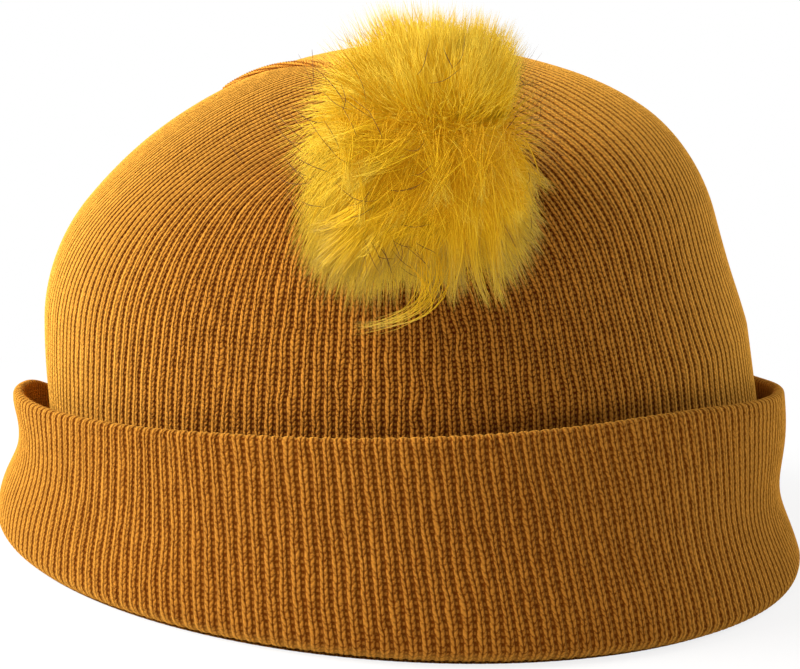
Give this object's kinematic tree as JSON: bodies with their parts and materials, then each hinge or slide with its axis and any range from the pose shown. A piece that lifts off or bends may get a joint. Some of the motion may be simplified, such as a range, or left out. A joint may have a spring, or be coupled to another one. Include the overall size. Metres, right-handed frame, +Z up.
{
  "type": "knit beanie",
  "caption": "Fine-rib knit beanie standing on its deep turned-up cuff, with a faux-fur pom-pom tied through the gathered crown by an elastic loop.",
  "frame": {"origin": "centre of the cuff's base circle, on the plane that the hat stands on", "axes": "+Z up out of the head opening's plane, -Y the way the wearer looks, where the pom-pom hangs, +X to the wearer's left"},
  "size_m": [0.2, 0.2048, 0.1229],
  "materials": {
    "knit_outer": "fine 1x1 rib knit, slightly fuzzy",
    "knit_inner": "fine 1x1 rib knit",
    "seam_yarn": "linked yarn",
    "felt": "pressed felt",
    "button": "satin",
    "elastic": "covered elastic cord",
    "stiff_disc": "matt",
    "wadding": "fibre wadding",
    "pelt_backing": "woven backing",
    "thread": "polyester thread",
    "faux_fur": "long soft pile"
  },
  "bodies": {
    "cuff": {"cuff_face": "knit_outer", "cuff_backing": "knit_inner", "cuff_hem_fold": "knit_outer", "cuff_base_fold": "knit_outer"},
    "crown": {"crown_shell": "knit_outer", "crown_lining": "knit_inner", "crown_seam_front": "seam_yarn", "crown_seam_right": "seam_yarn", "crown_seam_left": "seam_yarn", "lining_dart_seams": "seam_yarn", "crown_gather_ring": "seam_yarn", "felt_washer": "felt"},
    "loop": {"anchor_button": "button", "pom_loop": "elastic"},
    "tie": {"pom_tie": "elastic"},
    "pom": {"pom_mouth_disc": "stiff_disc", "pom_filling": "wadding", "pom_pelt": "pelt_backing", "pom_gather_thread": "thread", "pom_fur": "faux_fur"}
  },
  "joints": [
    {"name": "cuff_turn_down", "type": "slide", "parent": "cuff", "child": "crown", "axis": [-0.2164, 0, 0.9763], "range_m": [0, 0.03]},
    {"name": "pom_round", "type": "hinge", "parent": "crown", "child": "loop", "pos_m": [-0.00768, -0.04809, 0.11118], "axis": [-0.0916, -0.4469, 0.8899], "continuous": true},
    {"name": "pom_lean", "type": "hinge", "parent": "loop", "child": "tie", "pos_m": [-0.00768, -0.04809, 0.11118], "axis": [-0.9513, -0.225, -0.2109], "range_deg": [0, 83]},
    {"name": "pom_pull", "type": "slide", "parent": "tie", "child": "pom", "axis": [0.2832, -0.9081, -0.3086], "range_m": [0, 0.012], "stiffness_N_per_m": 150, "springref_m": -0.002}
  ]
}
